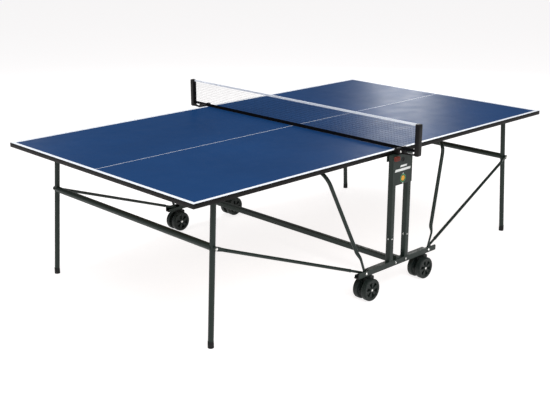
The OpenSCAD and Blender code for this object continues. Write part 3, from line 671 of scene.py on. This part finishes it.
for side, sx in SIDES:
    half = "half_" + side
    # board: lacquered top with its lines as faces of their own, sealed underside
    xs = [4.5, 1348.0, 1368.0]
    ys = [-760.5, -740.5, -1.5, 1.5, 740.5, 760.5]
    verts = [(x, y, z) for z in (741.0, 760.0) for x in xs for y in ys]
    at = lambda i, j, k: k * len(xs) * len(ys) + i * len(ys) + j
    faces, mats = [], []
    for i in range(len(xs) - 1):
        for j in range(len(ys) - 1):
            line = i == 1 or j in (0, 2, 4)
            faces.append((at(i, j, 1), at(i + 1, j, 1), at(i + 1, j + 1, 1), at(i, j + 1, 1)))
            mats.append(1 if line else 0)
            faces.append((at(i, j, 0), at(i, j + 1, 0), at(i + 1, j + 1, 0), at(i + 1, j, 0)))
            mats.append(2)
    for j in range(len(ys) - 1):
        for i in (0, len(xs) - 1):
            faces.append((at(i, j, 0), at(i, j + 1, 0), at(i, j + 1, 1), at(i, j, 1)))
            mats.append(2)
    for i in range(len(xs) - 1):
        for j in (0, len(ys) - 1):
            faces.append((at(i, j, 0), at(i + 1, j, 0), at(i + 1, j, 1), at(i, j, 1)))
            mats.append(2)
    s = Shape().add(verts, faces, mats)
    s.turned(sx, 1).make("board_%s_lacquered" % side, half, [BLUE, WHITE, CHIP], 0.5,
                         replaces=["board_" + side], slot="playing_surface")

    # edge rail: one rolled L section, mitred at the corners
    s = Shape()
    section = [(0.0, 737.5), (0.0, 759.2), (0.35, 759.85), (1.0, 760.0), (2.0, 759.8), (2.0, 741.0),
               (24.6, 741.0), (25.0, 740.6),
               (25.0, 739.4), (24.6, 739.0), (2.6, 739.0), (2.0, 738.6), (2.0, 737.4), (1.6, 737.0),
               (0.4, 737.0)]
    rings = []
    for cx, cy, dx, dy in ((2.5, -762.5, 1, 1), (1370, -762.5, -1, 1), (1370, 762.5, -1, -1),
                           (2.5, 762.5, 1, -1)):
        rings.append([(cx + dx * u, cy + dy * u, z) for u, z in section])
    s.loft(rings, closed=True)
    s.turned(sx, 1).make("edge_rail_%s_rolled" % side, half, RAIL, replaces=["edge_rails_" + side],
                         slot="edge_paint")

    # screws that hold the rail and the brackets, under the board
    s = Shape()
    for sy in (-1, 1):
        for x in (150, 330, 560, 790, 1020, 1250):
            screw(s, (x, sy * 749, 739), (0, 0, -1), 3.6, 1.4)
        for dx in (-24, 24):
            for dy in (-26, 26):
                screw(s, (1158 + dx, sy * (644 + dy), 738), (0, 0, -1), 4.0, 1.6)
            screw(s, (490 + dx, sy * 420, 738), (0, 0, -1), 4.0, 1.6)
            screw(s, (63 + dx * 0.9, sy * 722, 736), (0, 0, -1), 4.0, 1.6)
    for y in (-600, -360, -120, 120, 360, 600):
        screw(s, (1357, y, 739), (0, 0, -1), 3.6, 1.4)
    s.turned(sx, 1).make("underside_screws_" + side, half, ZINC, slot="zinc")
    keep("pivot_brackets_" + side, PAINT, 0.7)
    keep("underside_brackets_" + side, PAINT, 0.6)
    keep("slider_blocks_" + side, NYLON, 1.0)

    # strut frame: one bent tube whose ends are pressed flat round the bolts
    run, rise = 228.0, 577.0
    length = hypot(run, rise)
    lift = Vector((run / length, 0, rise / length))
    foot = Vector((BOLT_X, 0, BAR_Z))
    top_y, foot_y, bend = 702.0, 784.0, 100.0
    lean = atan2(foot_y - top_y, length)
    tangent = bend * tan((pi / 2 - lean) / 2)
    half_path = []          # (y, distance up the frame, half thickness, half width)
    for d, thick, wide in ((-8, 2.8, 1.4), (-7.4, 3.4, 3.2), (-6, 3.8, 5.4), (-3.5, 4, 7.3), (0, 4, 8),
                           (20, 4, 8), (50, 4, 8.1),
                           (80, 4, 8.4), (94, 4.4, 8.8), (104, 5.8, 9.3), (114, 8.0, 9.8),
                           (124, 9.6, STRUT_R), (134, STRUT_R, STRUT_R)):
        t = max(0.0, min(1.0, (d - 88) / 46))
        half_path.append((foot_y - tan(lean) * d * t * t * (3 - 2 * t), d, thick, wide))
    side_end = length - tangent * cos(lean)
    for k in range(1, 4):
        d = 134 + (side_end - 134) * k / 4
        half_path.append((foot_y - tan(lean) * d, d, STRUT_R, STRUT_R))
    cy, cd = top_y - tangent, length - bend
    for k in range(15):
        a = lean + (pi / 2 - lean) * k / 14
        half_path.append((cy + bend * cos(a), cd + bend * sin(a), STRUT_R, STRUT_R))
    for y in (500, 400, 200, 0):
        half_path.append((y, length, STRUT_R, STRUT_R))
    full = half_path + [(-y, d, t, w) for y, d, t, w in half_path[-2::-1]]
    points = [foot + lift * d + Vector((0, y, 0)) for y, d, t, w in full]
    plane = lift.cross(Vector((0, 1, 0)))
    s = Shape()
    s.sweep(points, lambda i: [(full[i][2] * cos(2 * pi * k / 24),
                                full[i][3] * sin(2 * pi * k / 24)) for k in range(24)], plane)
    s.turned(sx, 1).make("strut_%s_bent_tube" % side, "strut_" + side, PAINT,
                         replaces=["strut_frame_" + side], slot="frame_paint")

    # legs, crossbar with weld beads, foot caps and brace pins
    frame_body = "leg_frame_" + side
    leg_at = lambda z: Vector((1204 - 46 * z / 719, 658 - 14 * z / 719, z))
    s = Shape()
    for sy in (-1, 1):
        c = Shape()
        zs = ((4.6, 13.1), (5.4, LEG_R), (150, LEG_R), (300, LEG_R), (CROSS_Z, LEG_R), (640, LEG_R),
              (700, 13.9), (727.2, 13.7), (730.0, 12.4), (731.0, 9.8))
        c.sweep([leg_at(z) for z, r in zs], lambda i: circle(zs[i][1], 28), (1, 0, 0.064))
        c.turned(1, sy)
        s.add(c.verts, c.faces, c.mats)
    s.turned(sx, 1).make("legs_%s_drawn" % side, frame_body, PAINT, replaces=["legs_" + side],
                         slot="frame_paint")
    s = Shape()
    cross = leg_at(CROSS_Z)
    for sy in (-1, 1):
        bead = []
        for k in range(40):
            a = 2 * pi * k / 40
            u, v = CROSSBAR_R * cos(a), CROSSBAR_R * sin(a)
            depth = sqrt(max(0.0, LEG_R ** 2 - min(LEG_R, abs(u)) ** 2))
            bead.append((cross.x + u, sy * (cross.y - depth - 0.3), CROSS_Z + v))
        s.sweep(bead, lambda i: circle(1.5 + 0.25 * sin(i * 1.9), 8), (0, 1, 0), closed=True)
    n = 9
    s.sweep([(cross.x, -cross.y + 4 + (2 * cross.y - 8) * i / n, CROSS_Z) for i in range(n + 1)],
            lambda i: circle(CROSSBAR_R, 32), (0, 0, 1))
    s.turned(sx, 1).make("leg_crossbar_%s_welded" % side, frame_body, PAINT,
                         replaces=["leg_crossbar_" + side], slot="frame_paint")
    s = Shape()
    cap = [(0, 0), (13.0, 0), (13.9, 0.9), (14.8, 0.9), (15.1, 2.2), (15.1, 9.0), (14.8, 10.0),
           (14.8, 12.0), (15.1, 12.8), (15.1, 16.0), (14.8, 17.0),
           (14.8, 19.0), (15.1, 19.8), (15.1, 23.0), (14.8, 24.0), (14.8, 32.6), (14.7, 33.7),
           (14.6, 34.0), (14.4, 33.4), (14.4, 5), (0, 5)]
    for sy in (-1, 1):
        tilted = Shape().lathe(cap, (1202.75, sy * 657.6, 0), (0, 0, 1), 0, 40, closed=False)
        s.add(tilted.verts, tilted.faces, tilted.mats)
    s.turned(sx, 1).make("foot_caps_%s_moulded" % side, frame_body, RUBBER,
                         replaces=["foot_caps_" + side], slot="rubber")
    s = Shape()
    for sy in (-1, 1):
        c = Shape()
        x, y0 = cross.x, cross.y
        c.lathe([(0, y0 + 9), (4, y0 + 9), (4, 680.5), (3.2, 681.2), (0, 681.2)], (x, 0, CROSS_Z),
                (0, 1, 0), 0, 20, closed=False)
        c.lathe([(4.0, y0 + 14.2), (7, y0 + 14.2), (7, 665.6), (4.0, 665.6)], (x, 0, CROSS_Z),
                (0, 1, 0), 0, 24)
        c.lathe([(4.0, 676.4), (7.5, 676.4), (7.5, 677.3), (4.0, 677.3)], (x, 0, CROSS_Z), (0, 1, 0), 0,
                24)
        nut = lambda r, y: [(x + r * cos(pi / 3 * k), y, CROSS_Z + r * sin(pi / 3 * k))
                            for k in range(6)]
        c.loft([nut(6.6, 677.2), nut(6.6, 680.2), nut(5.6, 681.0)])
        c.turned(1, sy)
        s.add(c.verts, c.faces, c.mats)
    s.turned(sx, 1).make("brace_pins_%s_nutted" % side, frame_body, ZINC,
                         replaces=["brace_pins_" + side], slot="zinc")

    # telescopic braces
    for end, sy in ENDS:
        a = Vector((cross.x, 671, CROSS_Z))
        b = Vector((BOLT_X, 776, BAR_Z))
        d = (b - a).normalized()
        flat = Vector((d.x, 0, d.z)).normalized()      # the brace seen square on, without its lean
        up = Vector((-flat.z, 0, flat.x))
        s = Shape()
        # lug on the leg: a tapered plate with rolled edges, pierced for the pin
        s.lathe([(4.08, -5), (10.2, -5), (11, -4.2), (11, 4.2), (10.2, 5), (4.08, 5)], a, (0, 1, 0), 0,
                32)
        rings = []
        for m, h, t in ((5, 9.9, 4.6), (10, 10.9, 5), (20, 10.6, 5), (38, 9.0, 5), (52, 8.6, 6.2),
                        (60, 8.6, 7.8), (66, 8.5, 8.5)):
            k = max(0.0, min(1.0, (m - 34) / 32))
            mid = a + flat * m + Vector((0, (d.y / hypot(d.x, d.z)) * m * k, 0))
            n = 2.0 + 3.0 * (1 - k)
            ring = []
            for q in range(24):
                c, e = cos(2 * pi * q / 24), sin(2 * pi * q / 24)
                ring.append(mid + up * h * (abs(c) ** (2 / n)) * (1 if c >= 0 else -1)
                            + Vector((0, t * (abs(e) ** (2 / n)) * (1 if e >= 0 else -1), 0)))
            rings.append(ring)
        s.loft(rings)
        marks = ((60, BRACE_R), (300, BRACE_R), (868, BRACE_R), (871, 9.1), (878, 9.1), (880, 8.3))
        s.sweep([a + d * m for m, r in marks], lambda i: circle(marks[i][1], 24), (0, 1, 0))
        for k in (74, 96):           # crimps that hold the end fitting
            s.lathe([(7.6, -1.2), (8.9, 0), (7.6, 1.2)], a + d * k, d, 0, 24)
        s.turned(sx, sy).make("brace_tube_%s_%s_crimped" % (end, side),
                              "brace_tube_%s_%s" % (end, side), PAINT,
                              replaces=["brace_tube_%s_%s" % (end, side)], slot="frame_paint")
        # rod, pressed flat at its foot so that it shares the bar's end with the strut
        s = Shape()
        ring_at = ((-8, 1.4, 3.0), (-7.3, 3.4, 3.4), (-5.5, 5.8, 3.5), (0, 7.6, 3.5), (12, 7.0, 3.5),
                   (30, 7.0, 3.5), (38, 7.0, 4.4), (46, ROD_R, 6.0), (54, ROD_R, ROD_R),
                   (290, ROD_R, ROD_R))
        rings = []
        for m, h, t in ring_at:
            k = max(0.0, min(1.0, (m - 24) / 24))
            mid = b - flat * m + Vector((0, -(d.y / hypot(d.x, d.z)) * m * k, 0))
            rings.append([mid + up * h * cos(2 * pi * q / 24) + Vector((0, t * sin(2 * pi * q / 24),
                                                                        0)) for q in range(24)])
        s.loft(rings)
        s.turned(sx, sy).make("brace_rod_%s_%s_drawn" % (end, side), "brace_rod_%s_%s" % (end, side),
                              PAINT,
                              replaces=["brace_rod_%s_%s" % (end, side)], slot="frame_paint")


# ---- casters ----------------------------------------------------------------------------

def sector(shape, at, r0, r1, a0, a1, y0, y1, steps=6):
    """A slab between two radii and two angles, about a Y axis."""
    x, z = at
    ring = [(r1, a0 + (a1 - a0) * i / steps) for i in range(steps + 1)] + [(r0,
            a1 + (a0 - a1) * i / steps) for i in range(steps + 1)]
    shape.prism([(x + r * cos(a), y0, z + r * sin(a)) for r, a in ring], (0, y1 - y0, 0))


for end, sy in ENDS:
    for side, sx in SIDES:
        name = "%s_%s" % (end, side)
        cx, cy = sx * 226.0, sy * CARR_Y
        ax = cx - 18.0
        s = Shape()
        # moulded fork: outline with rounded corners, thinner web inside a rim
        outline = [(-31, 60), (-30.2, 65), (-30, 76), (-29.6, 108), (-29.2, 116), (-26.5, 121.5),
                   (-22, 124), (22, 124), (26.8, 121.6),
                   (29.4, 117), (30, 110), (28.6, 104), (24, 98), (8, 78), (-5.0, 61.5), (-5.8, 55.4),
                   (-9.6, 50), (-15, 47.3),
                   (-21, 47.3), (-26.4, 50), (-30, 54.6)]
        s.prism([(cx + u, cy - 9, v) for u, v in outline], (0, 18, 0))
        inner = [(u * 0.86 - 1.0, 87 + (v - 87) * 0.84) for u, v in outline]
        for k in (-1, 1):
            y0 = cy + k * 9
            y1 = cy + k * 11
            outer_ring = [(cx + u, v) for u, v in outline]
            inner_ring = [(cx + u, v) for u, v in inner]
            n = len(outline)
            verts = [(x, y0 - k * 0.5, z) for x, z in outer_ring] + [(x, y0 - k * 0.5, z) for x,
                                                                     z in inner_ring] + \
                    [(x, y1, z) for x, z in outer_ring] + [(x, y1, z) for x, z in inner_ring]
            faces = []
            for i in range(n):
                j = (i + 1) % n
                faces += [(i, j, 2 * n + j, 2 * n + i), (n + i, 3 * n + i, 3 * n + j, n + j),
                          (2 * n + i, 2 * n + j, 3 * n + j, 3 * n + i), (i, n + i, n + j, j)]
            s.add(verts, faces)
        s.lathe([(0, 122), (15.6, 122), (17, 123.2), (17, 130.6), (16, 131.6), (9.5, 131.6),
                 (9.5, 132.5), (0, 132.5)], (cx, cy, 0), (0, 0, 1), 0, 36, closed=False)
        s.lathe([(0, 130), (6, 130), (6, 141), (5, 142), (0, 142)], (cx, cy, 0), (0, 0, 1), 1, 24,
                closed=False)
        for k in (-1, 1):            # axle ends with domed zinc caps
            s.lathe([(0, 10), (5, 10), (5, 42.2), (0, 42.2)], (ax, cy, WHEEL_R), (0, k, 0), 1, 24,
                    closed=False)
            s.lathe([(0, 41.6), (6.6, 41.6), (6.6, 42.3), (5.6, 43.1), (3.2, 43.5), (0, 43.5)],
                    (ax, cy, WHEEL_R), (0, k, 0), 1, 28, closed=False)
        s.make("caster_fork_%s_moulded" % name, "caster_" + name, [FORK, ZINC], 0.7,
               replaces=["caster_fork_" + name], slot="wheel_plastic")

        for which, k in (("outer", 1), ("inner", -1)):
            d = sy * k
            c0 = cy + d * 27.5
            s = Shape()
            # tread, rim and hub in one turning; heights run outwards from the wheel's middle
            rim = [(5.08, -14.4), (14.4, -14.4), (15.2, -13.6), (15.2, -10.5), (38.5, -10.0),
                   (40.0, -10.6), (42.2, -14.2), (43.4, -15.0), (54.2, -15.0),
                   (56.6, -14.5), (58.6, -13.2), (59.7, -11.2), (60.0, -9.2), (60.0, -5.4),
                   (59.5, -5.0), (59.5, -4.2), (60.0, -3.8),
                   (60.0, 3.8), (59.5, 4.2), (59.5, 5.0), (60.0, 5.4), (60.0, 9.2), (59.7, 11.2),
                   (58.6, 13.2), (56.6, 14.5), (54.2, 15.0),
                   (49.0, 15.0), (48.2, 14.5), (47.4, 14.5), (46.6, 15.0), (43.0, 14.8), (41.4, 13.6),
                   (40.6, 4.0), (15.4, 4.0), (14.8, 12.8), (13.8, 13.9),
                   (9.0, 14.1), (8.2, 13.5), (5.08, 13.4)]
            s.lathe(rim, (ax, c0, WHEEL_R), (0, d, 0), 0, 72)
            for q in range(6):       # spokes: flat pads between wedge-shaped pockets
                a = pi / 3 * q + pi / 12
                sector(s, (ax, WHEEL_R), 14.2, 41.4, a - 0.27, a + 0.27, c0 + d * 3.6, c0 + d * 11.8)
            for q in range(6):       # ribs behind
                a = pi / 3 * q + pi / 12
                sector(s, (ax, WHEEL_R), 14.8, 40.0, a - 0.05, a + 0.05, c0 - d * 9.6, c0 - d * 12.6, 2)
            s.make("wheel_%s_%s_spoked" % (name, which), "wheel_%s_%s" % (name, which), WHEEL, 0.6,
                   replaces=["wheel_%s_%s" % (name, which)], slot="wheel_plastic")


# ---- camera, floor and light --------------------------------------------------------------

cam = bpy.data.cameras.new("camera")
cam.lens = 63.3
cam.sensor_width = 36.0
cam.clip_end = 200.0
camera = bpy.data.objects.new("camera", cam)
scene.collection.objects.link(camera)
camera.location = (-3.8430, -3.8040, 1.9930)
az, el = 0.77095, 0.30120
look = Vector((sin(az) * cos(el), cos(az) * cos(el), -sin(el)))
camera.rotation_euler = look.to_track_quat("-Z", "Y").to_euler()
scene.camera = camera

floor_mesh = bpy.data.meshes.new("floor")
R = 60.0
floor_mesh.from_pydata([(-R, -R, 0), (R, -R, 0), (R, R, 0), (-R, R, 0)], [], [(0, 1, 2, 3)])
floor = bpy.data.objects.new("floor", floor_mesh)
scene.collection.objects.link(floor)
m = bpy.data.materials.new("floor")
m.use_nodes = True
p = m.node_tree.nodes["Principled BSDF"]
p.inputs["Base Color"].default_value = (0.42, 0.41, 0.41, 1.0)
p.inputs["Roughness"].default_value = 0.9
p.inputs["Specular IOR Level"].default_value = 0.1
p.inputs["Emission Color"].default_value = (1.0, 0.985, 0.985, 1.0)
p.inputs["Emission Strength"].default_value = 0.83
floor_mesh.materials.append(m)

world = bpy.data.worlds.new("studio")
world.use_nodes = True
world.node_tree.nodes["Background"].inputs["Color"].default_value = (0.96, 0.98, 1.0, 1.0)
world.node_tree.nodes["Background"].inputs["Strength"].default_value = 0.22
scene.world = world


def softbox(name, at, towards, size, power):
    light = bpy.data.lights.new(name, "AREA")
    light.shape = "RECTANGLE"
    light.size, light.size_y = size
    light.energy = power
    o = bpy.data.objects.new(name, light)
    scene.collection.objects.link(o)
    o.location = at
    o.rotation_euler = (Vector(towards) - Vector(at)).to_track_quat("-Z", "Y").to_euler()


softbox("key", (-2.5, -4.5, 5.0), (0, 0, 0.4), (3.5, 2.5), 240)
softbox("fill", (-5.5, 1.5, 3.2), (0, 0, 0.4), (2.5, 2.0), 70)
softbox("streak", (5.2, 3.3, 2.1), (0.9, 0.0, 0.7), (0.7, 2.4), 34)
softbox("corner", (1.6, 6.6, 2.3), (-1.2, 0.6, 0.7), (1.0, 1.8), 7)
softbox("top", (0.5, 0.5, 5.5), (0, 0, 0.0), (5.0, 4.0), 190)
scene.view_settings.view_transform = "Standard"
scene.view_settings.look = "None"
